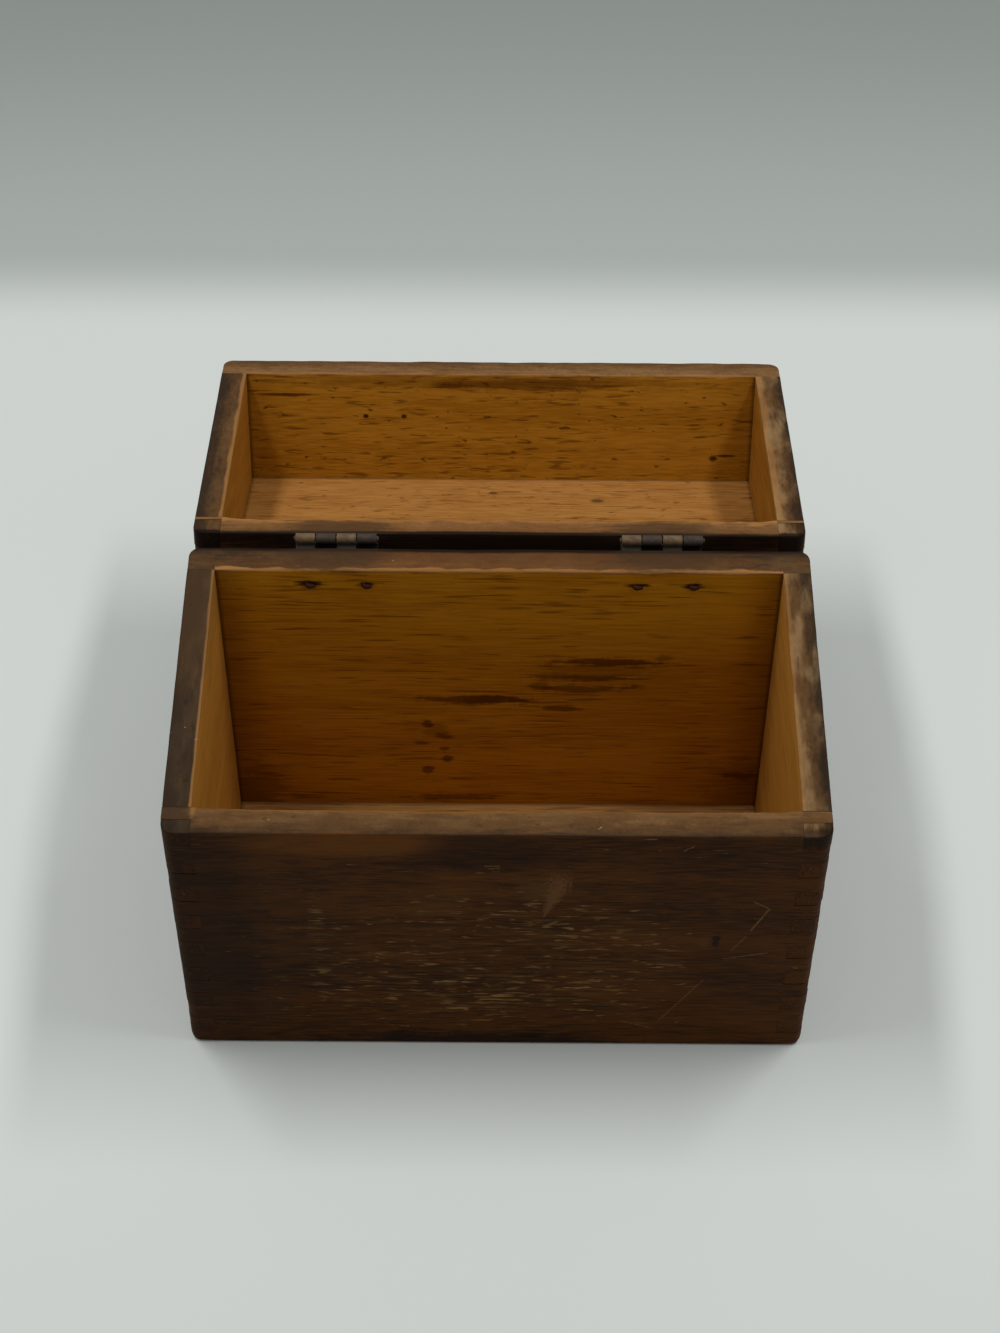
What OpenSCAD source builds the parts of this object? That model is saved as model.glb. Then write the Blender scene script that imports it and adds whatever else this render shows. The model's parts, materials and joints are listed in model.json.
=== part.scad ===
// Wooden recipe box for index cards, with finger-jointed corners and a hinged lid.
// The box is glued up whole and then sawn apart along a rim that rises to the back.
// It is drawn open, with the lid swung right over and leaning on the back of the base.
// Origin: middle of the underside. X runs along the width, -Y is the front, +Z is up.

/* [Box] */
// Outside width of the box, left to right
box_w = 142.9; // [115:0.1:175]
// Outside depth of the box, front to back
box_d = 76.2; // [62:0.1:95]
// Height of the base at its front edge
front_h = 75.8; // [60:0.1:92]
// Height of the lid at its front edge
lid_front_h = 34.54; // [30:0.02:46]
// Rise of the rim from front to back, in degrees
rim_slope = 8.5; // [5:0.1:10]
// Gap between the two rims when the lid is shut
rim_gap = 0.3; // [0.2:0.05:0.6]
// Thickness of the wall boards
wall_t = 6.35; // [5.5:0.05:8]
// Thickness of the bottom panel
bottom_t = 5.1; // [3:0.1:7]
// Thickness of the top panel
top_t = 4; // [3:0.1:6]
// Width of the rebate in the walls that takes a panel
rebate_w = 3.2; // [2:0.1:3.8]
// Gap between a panel's edge and its rebate
panel_fit = 0.1; // [0.05:0.01:0.3]
// Radius of the upright corners
corner_r = 2.5; // [1:0.1:3]
// Radius of the lid's top edges
edge_r = 2.5; // [1:0.1:3]
// Radius of the base's bottom edges
foot_r = 0.8; // [0.4:0.1:3]

/* [Corner joints] */
// Height of one finger
finger_h = 4.76; // [4:0.01:6]
// Glue gap round a finger
finger_fit = 0.04; // [0.02:0.01:0.1]
// Height lost between base and lid to the saw and the plane
saw_loss = 3.9; // [2:0.1:5]

/* [Hinges] */
// Distance of each hinge's middle from the middle of the box
hinge_x = 37.7; // [28:0.1:48]
// Length of a hinge along its pin
hinge_len = 19; // [15:0.5:24]
// Distance of the pin from the back faces of base and lid
pin_out = 3.1; // [2.8:0.05:4]
// Diameter of the pin
pin_d = 1.2; // [0.9:0.05:1.4]
// How far the pin stands out of the knuckles at each end
pin_proud = 0.3; // [0.1:0.05:0.6]
// Outside diameter of the knuckles
knuckle_d = 2.4; // [2.2:0.05:3]
// Gap between neighbouring knuckles
knuckle_gap = 0.3; // [0.2:0.05:0.5]
// Clearance round the pin in the lid's knuckles
pin_run = 0.05; // [0.02:0.01:0.1]
// Clearance round the pin in the base's knuckles
pin_grip = 0.02; // [0.01:0.01:0.05]
// Thickness of the leaf metal
leaf_t = 0.8; // [0.6:0.05:1]
// Distance from the pin to the leaf's far edge
leaf_h = 9.5; // [8:0.1:12]
// Distance from the pin to the leaf's near edge
leaf_edge = 1; // [0.8:0.05:1.5]
// Gap between the open lid and the back of the base
stop_gap = 0.3; // [0.2:0.05:0.6]

/* [Nails] */
// Distance between the two nails of a leaf
nail_spacing = 13; // [9:0.5:14]
// Distance from the pin to the nails
nail_drop = 5.6; // [5:0.1:7]
// Diameter of a nail's shank
nail_d = 1.2; // [0.9:0.05:1.5]
// Diameter of a nail's head
nail_head_d = 2.6; // [2:0.1:3.2]
// Height of a nail's head
nail_head_t = 0.5; // [0.3:0.05:0.7]
// Length of the nail's end, bent over on the inside
nail_clinch = 2; // [1.5:0.1:3]
// Clearance round a nail
nail_fit = 0.02; // [0.01:0.01:0.05]

/* [Hidden] */
$fn = 48;

// Margin by which cutting shapes overshoot what they cut
cut = 1;
// The box before it is sawn apart
blank_h = front_h + saw_loss + lid_front_h;
finger_count = ceil(blank_h / finger_h);
// Size of the seats of both panels
seat_w = box_w - 2 * (wall_t - rebate_w);
seat_d = box_d - 2 * (wall_t - rebate_w);
// The hinge axis
back_h = front_h + box_d * tan(rim_slope);
pin_y = box_d / 2 + pin_out;
pin_z = back_h + rim_gap / 2;
// How far the lid drops onto the base once the saw cut is gone
lid_drop = saw_loss - rim_gap;
// The open lid leans past flat until the round edge of its top meets the base's back:
// (pin_out - edge_r) + lean_y * cos(lean) - lean_z * sin(lean) = stop_gap
lid_back_h = blank_h - saw_loss - back_h;
lean_y = pin_out + edge_r;
lean_z = lid_back_h - edge_r + rim_gap / 2;
lean = acos((stop_gap - pin_out + edge_r) / norm([lean_y, lean_z])) - atan2(lean_z, lean_y);
open_angle = 180 + lean;
// Knuckles of one hinge, counted from its left end: the base has the even ones
knuckle_count = 4;
knuckle_pitch = hinge_len / knuckle_count;
knuckle_r = knuckle_d / 2;
// Small bevel on the ends of a hinge pin
pin_bevel = 0.2;

WOOD = "#4b3324";
PANEL = "#8a5a28";
LEAF = "#8d7a58";
PIN = "#7c6c50";
NAIL = "#4a443c";

echo(open_angle = open_angle, pin_y = pin_y, pin_z = pin_z, blank_h = blank_h, fingers = finger_count);

// Height of the sawn rim of the base at a depth y
function rim_z(y) = front_h + (y + box_d / 2) * tan(rim_slope);

// Extrudes a shape drawn in Y and Z along the width
module along_x(length) {
    rotate([90, 0, 90])
        linear_extrude(length, center = true)
            children();
}

// Extrudes a shape drawn in X and Z along the depth
module along_y(length) {
    rotate([90, 0, 0])
        linear_extrude(length, center = true)
            children();
}

module rounded_rectangle(width, height, radius) {
    square([width - 2 * radius, height], center = true);
    square([width, height - 2 * radius], center = true);
    for (x = [-1, 1], y = [-1, 1])
        translate([x * (width / 2 - radius), y * (height / 2 - radius)])
            circle(radius);
}

// Upright outline of the whole block, eased at its foot and rounded over at its top
module upright_outline(width) {
    foot_h = blank_h + foot_r + cut;
    top_h = blank_h + edge_r + cut;
    intersection() {
        translate([0, foot_h / 2])
            rounded_rectangle(width, foot_h, foot_r);
        translate([0, blank_h - top_h / 2])
            rounded_rectangle(width, top_h, edge_r);
    }
}

// The whole block before sawing, with its corners and edges rounded over
module softened_block() {
    intersection() {
        linear_extrude(blank_h)
            rounded_rectangle(box_w, box_d, corner_r);
        along_x(box_w)
            upright_outline(box_d);
        along_y(box_d)
            upright_outline(box_w);
    }
}

// Everything that the saw leaves to the base
module below_rim() {
    y = box_d / 2 + cut;
    along_x(box_w + 2 * cut)
        polygon([[-y, -cut], [y, -cut], [y, rim_z(y)], [-y, rim_z(-y)]]);
}

// Everything that the saw leaves to the lid
module above_rim() {
    y = box_d / 2 + cut;
    top = blank_h + cut;
    along_x(box_w + 2 * cut)
        polygon([[-y, rim_z(-y) + saw_loss], [y, rim_z(y) + saw_loss], [y, top], [-y, top]]);
}

// Seats of the bottom and top panels, cut into all four walls
module panel_seats() {
    translate([-seat_w / 2, -seat_d / 2, -cut])
        cube([seat_w, seat_d, bottom_t + cut]);
    translate([-seat_w / 2, -seat_d / 2, blank_h - top_t])
        cube([seat_w, seat_d, top_t + cut]);
}

// Slots for the fingers numbered first, first + 2 and so on, through the wall at one end
module finger_slots(first, length) {
    for (k = [first : 2 : finger_count])
        translate([-length / 2, -wall_t / 2 - cut, k * finger_h - finger_fit])
            cube([length, wall_t + 2 * cut, finger_h + finger_fit]);
}

// A board standing along X, middle of its thickness at y = 0, with slots at both ends
module slotted_board(length, first) {
    slot_l = wall_t + finger_fit;
    difference() {
        translate([-length / 2, -wall_t / 2, 0])
            cube([length, wall_t, blank_h]);
        for (s = [-1, 1])
            translate([s * (length / 2 - slot_l / 2 + cut / 2), 0, 0])
                finger_slots(first, slot_l + cut);
    }
}

// Front (s = -1) or back (s = 1) board of the whole box: the side boards take the odd fingers
module cross_board(s) {
    intersection() {
        translate([0, s * (box_d - wall_t) / 2, 0])
            slotted_board(box_w, 1);
        softened_block();
    }
}

// Left (s = -1) or right (s = 1) board of the whole box: the cross boards take the even fingers
module side_board(s) {
    intersection() {
        translate([s * (box_w - wall_t) / 2, 0, 0])
            rotate([0, 0, 90])
                slotted_board(box_d, 0);
        softened_block();
    }
}

// The base's share of a board
module base_share() {
    difference() {
        intersection() {
            children();
            below_rim();
        }
        panel_seats();
    }
}

// The lid's share of a board, resting on the base with the lid shut
module lid_share() {
    translate([0, 0, -lid_drop])
        difference() {
            intersection() {
                children();
                above_rim();
            }
            panel_seats();
        }
}

// A panel in its seat, its underside at z
module panel(z, thickness) {
    intersection() {
        translate([panel_fit - seat_w / 2, panel_fit - seat_d / 2, z])
            cube([seat_w - 2 * panel_fit, seat_d - 2 * panel_fit, thickness]);
        softened_block();
    }
}

// Turns what is drawn with the lid shut to the open lid
module opened() {
    translate([0, pin_y, pin_z])
        rotate([-open_angle, 0, 0])
            translate([0, -pin_y, -pin_z])
                children();
}

// Puts a hinge piece on its pin: side -1 is the left hinge, 1 the right
module at_hinge(side) {
    translate([side * hinge_x, pin_y, pin_z])
        children();
}

// A rod along X
module rod(length, diameter) {
    rotate([0, 90, 0])
        cylinder(length, d = diameter, center = true);
}

// A rod along Y, from y = from to y = to
module cross_rod(from, to, diameter) {
    translate([0, to, 0])
        rotate([90, 0, 0])
            cylinder(to - from, d = diameter);
}

// Places children at both nails of a leaf that hangs below its pin
module at_nails() {
    for (s = [-1, 1])
        translate([s * nail_spacing / 2, 0, -nail_drop])
            children();
}

// A leaf below its pin: a plate on the wood, and straps that rise to every second knuckle
module leaf(first, bore_gap) {
    face_y = -pin_out;
    strap_low = leaf_edge + 2 * leaf_t;
    pin_hole = pin_d + 2 * bore_gap;
    mid_r = (knuckle_r + pin_hole / 2) / 2;
    difference() {
        union() {
            translate([-hinge_len / 2, face_y, -leaf_h])
                cube([hinge_len, leaf_t, leaf_h - leaf_edge]);
            for (k = [first : 2 : knuckle_count - 1])
                translate([(k + 0.5) * knuckle_pitch - hinge_len / 2, 0, 0]) {
                    rod(knuckle_pitch - knuckle_gap, knuckle_d);
                    along_x(knuckle_pitch - knuckle_gap)
                        polygon([[face_y, -leaf_edge], [face_y, -strap_low],
                                 [face_y + leaf_t, -strap_low], [0, -knuckle_r],
                                 [0, -mid_r], [-mid_r, 0]]);
                }
        }
        rod(hinge_len + 2 * cut, pin_hole);
        at_nails()
            cross_rod(face_y - cut, face_y + leaf_t + cut, nail_d + 2 * nail_fit);
    }
}

// The two nails of a leaf: head on the leaf, shank through the wall, end bent over inside
module nails() {
    head_y = leaf_t - pin_out;
    bend_y = -pin_out - wall_t - nail_fit - nail_d / 2;
    at_nails() {
        translate([0, head_y + nail_head_t, 0])
            rotate([90, 0, 0])
                cylinder(nail_head_t, d1 = nail_head_d / 2, d2 = nail_head_d);
        cross_rod(bend_y, head_y, nail_d);
        translate([0, bend_y, 0]) {
            sphere(d = nail_d);
            rotate([0, 90, 0])
                cylinder(nail_clinch, d1 = nail_d, d2 = nail_d / 2);
        }
    }
}

// Holes through the back wall for the nails of both hinges, below the pins
module nail_holes() {
    for (side = [-1, 1])
        at_hinge(side)
            at_nails()
                cross_rod(-pin_out - wall_t - cut, -pin_out + cut, nail_d + 2 * nail_fit);
}

// The same hinge piece on the shut lid, above the pin
module lid_side(side) {
    at_hinge(side)
        mirror([0, 0, 1])
            children();
}

// The pin of a hinge, with bevelled ends
module pin() {
    r = pin_d / 2;
    half = hinge_len / 2 + pin_proud;
    rotate([0, 90, 0])
        rotate_extrude()
            polygon([[0, -half], [r - pin_bevel, -half], [r, pin_bevel - half],
                     [r, half - pin_bevel], [r - pin_bevel, half], [0, half]]);
}

module base_front_board() {
    color(WOOD) base_share() cross_board(-1);
}

module base_back_board() {
    color(WOOD)
        difference() {
            base_share() cross_board(1);
            nail_holes();
        }
}

module base_left_board() {
    color(WOOD) base_share() side_board(-1);
}

module base_right_board() {
    color(WOOD) base_share() side_board(1);
}

module base_bottom_panel() {
    color(PANEL) panel(0, bottom_t);
}

module lid_front_board() {
    color(WOOD) opened() lid_share() cross_board(-1);
}

module lid_back_board() {
    color(WOOD)
        opened()
            difference() {
                lid_share() cross_board(1);
                translate([0, 0, 2 * pin_z])
                    mirror([0, 0, 1])
                        nail_holes();
            }
}

module lid_left_board() {
    color(WOOD) opened() lid_share() side_board(-1);
}

module lid_right_board() {
    color(WOOD) opened() lid_share() side_board(1);
}

module lid_top_panel() {
    color(PANEL)
        opened()
            translate([0, 0, -lid_drop])
                panel(blank_h - top_t, top_t);
}

module left_hinge_base_leaf() {
    color(LEAF) at_hinge(-1) leaf(0, pin_grip);
}

module left_hinge_lid_leaf() {
    color(LEAF) opened() lid_side(-1) leaf(1, pin_run);
}

module left_hinge_pin() {
    color(PIN) at_hinge(-1) pin();
}

module right_hinge_base_leaf() {
    color(LEAF) at_hinge(1) leaf(0, pin_grip);
}

module right_hinge_lid_leaf() {
    color(LEAF) opened() lid_side(1) leaf(1, pin_run);
}

module right_hinge_pin() {
    color(PIN) at_hinge(1) pin();
}

module left_hinge_base_nails() {
    color(NAIL) at_hinge(-1) nails();
}

module left_hinge_lid_nails() {
    color(NAIL) opened() lid_side(-1) nails();
}

module right_hinge_base_nails() {
    color(NAIL) at_hinge(1) nails();
}

module right_hinge_lid_nails() {
    color(NAIL) opened() lid_side(1) nails();
}

base_front_board();
base_back_board();
base_left_board();
base_right_board();
base_bottom_panel();
lid_front_board();
lid_back_board();
lid_left_board();
lid_right_board();
lid_top_panel();
left_hinge_base_leaf();
left_hinge_lid_leaf();
left_hinge_pin();
right_hinge_base_leaf();
right_hinge_lid_leaf();
right_hinge_pin();
left_hinge_base_nails();
left_hinge_lid_nails();
right_hinge_base_nails();
right_hinge_lid_nails();
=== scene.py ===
import json
import math
import random

import bmesh
import bpy
from mathutils import Matrix, Vector, noise


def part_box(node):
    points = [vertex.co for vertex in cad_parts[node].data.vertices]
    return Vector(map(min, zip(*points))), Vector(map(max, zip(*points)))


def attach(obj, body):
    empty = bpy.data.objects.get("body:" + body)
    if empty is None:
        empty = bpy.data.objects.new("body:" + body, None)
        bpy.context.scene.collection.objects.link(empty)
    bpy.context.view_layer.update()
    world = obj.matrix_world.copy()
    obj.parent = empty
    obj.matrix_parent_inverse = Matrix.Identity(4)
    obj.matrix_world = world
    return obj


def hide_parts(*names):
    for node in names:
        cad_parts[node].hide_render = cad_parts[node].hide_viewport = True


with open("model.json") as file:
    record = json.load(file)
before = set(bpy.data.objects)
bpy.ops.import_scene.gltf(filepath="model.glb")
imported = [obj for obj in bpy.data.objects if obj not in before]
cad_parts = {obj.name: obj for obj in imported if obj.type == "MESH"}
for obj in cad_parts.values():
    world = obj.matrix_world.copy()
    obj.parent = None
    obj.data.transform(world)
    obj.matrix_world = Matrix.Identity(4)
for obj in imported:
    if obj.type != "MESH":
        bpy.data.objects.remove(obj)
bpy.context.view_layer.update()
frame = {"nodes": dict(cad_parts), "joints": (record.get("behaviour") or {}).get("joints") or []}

MM = 0.001

# One fixed seed for the uneven faces of torn wood and hammered nail heads
UNEVEN_SEED = 7
noise.seed_set(UNEVEN_SEED)

# Sizes of the box, read from the frame
front_low, front_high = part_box("base_front_board")
back_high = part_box("base_back_board")[1]
panel_low, panel_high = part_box("base_bottom_panel")
BOX_W = front_high.x - front_low.x
BOX_D = back_high.y - front_low.y
WALL = front_high.y - front_low.y
BOTTOM_T = panel_high.z - panel_low.z
RIM_RISE = (back_high.z - front_high.z) / (BOX_D - WALL)
FRONT_H = back_high.z - BOX_D * RIM_RISE
RIM_COS = 1 / math.hypot(1, RIM_RISE)

# The hinge, and the turn that brings the shut lid to its open rest
lid_hinge = frame["joints"][0]
PIN_AT = Vector(lid_hinge["pos_m"])
OPEN_TURN = math.radians(lid_hinge["range_deg"][1])
LID_OPEN = (
    Matrix.Translation(PIN_AT)
    @ Matrix.Rotation(-OPEN_TURN, 4, "X")
    @ Matrix.Translation(-PIN_AT)
)
LID_SHUT = LID_OPEN.inverted()


def shut_points(node):
    """Corners of a lid node's mesh with the lid shut."""
    return [LID_SHUT @ v.co for v in frame["nodes"][node].data.vertices]


top_heights = [p.z for p in shut_points("lid_top_panel")]
LID_TOP = max(top_heights)
TOP_T = LID_TOP - min(top_heights)
LID_RIM_FRONT = min(p.z for p in shut_points("lid_front_board"))
RIM_GAP = LID_RIM_FRONT - FRONT_H

# Joinery and rounding, as on the construction drawing
CORNER_R = 2.5 * MM
EDGE_R = 2.5 * MM
FOOT_R = 0.8 * MM
REBATE_LIP = 3.15 * MM
PANEL_PLAY = 0.1 * MM
FINGER_H = 4.76 * MM
FINGER_COUNT = 24
LID_DROP = FINGER_COUNT * FINGER_H - LID_TOP
OVERCUT = 1 * MM

# Wear of the boards: knocked bottom corners, a planed rim, edges rounded by hands, opened seams
FOOT_CORNER_R = 1.5 * MM
FOOT_WEAR = 0.35 * MM
FOOT_WEAR_REACH = 3 * MM
RIM_LOSS = 0.22 * MM
HANDLED_X = -10 * MM
HANDLED_REACH = 42 * MM
JOINT_FADE = 4 * MM
SEAM = 0.06 * MM
HIDDEN_EASE = 0.2 * MM
PANEL_EASE = 0.25 * MM

# Each board and panel takes its grain from a place of its own, and a panel's marks put the rim far away
GRAIN_SPREAD = 3
FAR_FROM_RIM = 50 * MM
PANEL_GRAIN = {"base": Vector((0.2, 1.9, 0.7)), "lid": Vector((1.3, 0.4, 2.1))}

# Lengths of the waves in the worn edges, from long swells to nibbles
RIM_SWELL = 24 * MM
FOOT_WAVE = 9 * MM
INNER_WAVE = 7 * MM
OUTER_WAVE = 5 * MM
NIBBLE = 2.2 * MM

# Hinges and nails, as on the construction drawing
HINGE_X = sum(corner.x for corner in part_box("right_hinge_pin")) / 2
HINGE_LEN = 19 * MM
PIN_OUT = PIN_AT.y - BOX_D / 2
PIN_HOLE_R = 0.65 * MM
KNUCKLE_COUNT = 4
KNUCKLE_GAP = 0.3 * MM
LEAF_T = 0.8 * MM
LEAF_H = 9.5 * MM
NAIL_SPACING = 13 * MM
NAIL_DROP = 5.6 * MM
NAIL_R = 0.6 * MM
NAIL_HOLE_R = 0.62 * MM
NAIL_HEAD_R = 1.3 * MM
NAIL_HEAD_T = 0.5 * MM
NAIL_CLINCH = 2 * MM

# Rolled straps, rounded corners and bends, inside the plainer forms on the drawing
KNUCKLE_R = 1.19 * MM
ROLL_TURN = math.radians(292)
STRAP_FOOT = 2.6 * MM
STRAP_BEND_R = 0.7 * MM
STRAP_EASE = 0.1 * MM
LEAF_TOP = 2.3 * MM
LEAF_CORNER = 1.3 * MM
LEAF_TOP_CORNER = 0.3 * MM
LEAF_EASE = 0.14 * MM
NAIL_BEND_R = 0.7 * MM

# A nail's point, as shares of the way from its bend to its tip and of its radius
NAIL_POINT = (0.35, 0.92), (0.7, 0.68), (0.92, 0.4), (1, 0.16)

# How finely boards and panels are divided along and round their sides, and the round metal shapes
BOARD_PITCH = 1.15 * MM
BOARD_END_STEPS = 8
BOARD_SIDES = 3, 22, 5, 26
PANEL_STEPS = 70
PANEL_SIDES = 40, 3, 40, 3
ROLL_STEPS = 36
STRAP_BEND_STEPS = 5
NAIL_BEND_STEPS = 7
HEAD_STEPS = 8
NAIL_SIDES = 16
HOLE_SIDES = 20

# Uneven hand work, in millimetres and degrees: settled fingers, torn wood, bent nails, hammered heads
FINGER_SINK = 0.12
FINGER_SHORT = 0.16
TEAR_LENGTH = 2.2, 3.6
TEAR_DEPTH = 0.5, 0.8
TEAR_UNEVEN = 0.16
HEAD_UNEVEN = 0.05
NAIL_TILT = 9

# Torn wood lies at most this share of a nail's bent end away from its hole
TEAR_SHIFT = 0.7

# Angles between faces past which an edge is eased, or drawn sharp
EASED_FROM = math.radians(50)
SHARP_FROM = math.radians(32)


# Shapes

def ripple(seed, place, length):
    """A smooth wave from 0 to 1 along a board, with bumps about one length apart."""
    return 0.5 + 0.5 * noise.noise(Vector((place / length, 7.31 * seed, 1.7)))


def round_over(distance, radius):
    """How far a rounded edge lies inside its square corner, at a distance from that corner."""
    if distance >= radius:
        return 0.0
    return radius - math.sqrt(radius**2 - (radius - distance) ** 2)


def rounded_corner(before, corner, after, reach, steps):
    """Points of an arc that takes off a corner, starting one reach from it on both edges."""
    toward, away = (before - corner).normalized(), (after - corner).normalized()
    half = toward.angle(away) / 2
    centre = corner + (toward + away).normalized() * (reach / math.cos(half))
    radius = reach * math.tan(half)
    first = (corner + toward * reach - centre).normalized()
    last = (corner + away * reach - centre).normalized()
    return [centre + first.slerp(last, i / steps) * radius for i in range(steps + 1)]


def outline(corners, spacing):
    """Closed outline with rounded corners, each (point, reach, steps), and evenly divided edges."""
    arcs = []
    for i, (point, reach, steps) in enumerate(corners):
        before, after = corners[i - 1][0], corners[(i + 1) % len(corners)][0]
        arcs.append(rounded_corner(before, point, after, reach, steps))
    points = []
    for arc, following, parts in zip(arcs, arcs[1:] + arcs[:1], spacing):
        points += arc
        points += [arc[-1].lerp(following[0], k / parts) for k in range(1, parts)]
    return points


def loft(rings, shape=None):
    """Closed mesh through rings of points that all have the same count, capped at both ends."""
    shape = shape or bmesh.new()
    rows = [[shape.verts.new(p) for p in ring] for ring in rings]
    count = len(rows[0])
    for row, following in zip(rows, rows[1:]):
        for i in range(count):
            j = (i + 1) % count
            shape.faces.new((row[i], row[j], following[j], following[i]))
    shape.faces.new(rows[0])
    shape.faces.new(rows[-1])
    bmesh.ops.recalc_face_normals(shape, faces=shape.faces)
    return shape


def as_object(shape, name):
    """Turns a bmesh into an object in the scene."""
    mesh = bpy.data.meshes.new(name)
    shape.to_mesh(mesh)
    shape.free()
    piece = bpy.data.objects.new(name, mesh)
    bpy.context.scene.collection.objects.link(piece)
    return piece


def block(shape, low, high):
    """Adds a square block between two corners to a bmesh."""
    size = [b - a for a, b in zip(low, high)]
    middle = [(a + b) / 2 for a, b in zip(low, high)]
    place = Matrix.Translation(middle) @ Matrix.Diagonal((*size, 1))
    bmesh.ops.create_cube(shape, size=1, matrix=place)


def drill(shape, middle, depth):
    """Adds a cutter for one nail hole, through a back board or a leaf, to a bmesh."""
    place = Matrix.Translation(middle) @ Matrix.Rotation(math.pi / 2, 4, "X")
    bmesh.ops.create_cone(shape, cap_ends=True, segments=HOLE_SIDES, radius1=NAIL_HOLE_R,
                          radius2=NAIL_HOLE_R, depth=depth, matrix=place)


def apply_modifiers(piece):
    """Makes a piece's modifiers part of its mesh."""
    bpy.context.view_layer.update()
    seen = piece.evaluated_get(bpy.context.evaluated_depsgraph_get())
    changed = bpy.data.meshes.new_from_object(seen)
    piece.modifiers.clear()
    before, piece.data = piece.data, changed
    bpy.data.meshes.remove(before)


def carve(piece, cutter, operation="DIFFERENCE"):
    """Cuts a cutter out of a piece for good, or joins it on, and throws the cutter away."""
    cut = piece.modifiers.new("cut", "BOOLEAN")
    cut.operation, cut.solver, cut.object = operation, "MANIFOLD", cutter
    apply_modifiers(piece)
    bpy.data.objects.remove(cutter)


def ease_edges(piece, width):
    """Takes the sharpness off a piece's edges."""
    bevel = piece.modifiers.new("ease", "BEVEL")
    bevel.width, bevel.segments, bevel.limit_method = width, 2, "ANGLE"
    bevel.angle_limit = EASED_FROM
    apply_modifiers(piece)


def seat(piece, node, body):
    """Opens a lid piece, then lets it stand for its node and ride on its body."""
    if body == "lid":
        piece.data.transform(LID_OPEN)
    piece.data.shade_smooth()
    piece.data.set_sharp_from_angle(angle=SHARP_FROM)
    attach(piece, body)
    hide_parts(node)
    return piece


# Boards

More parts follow.
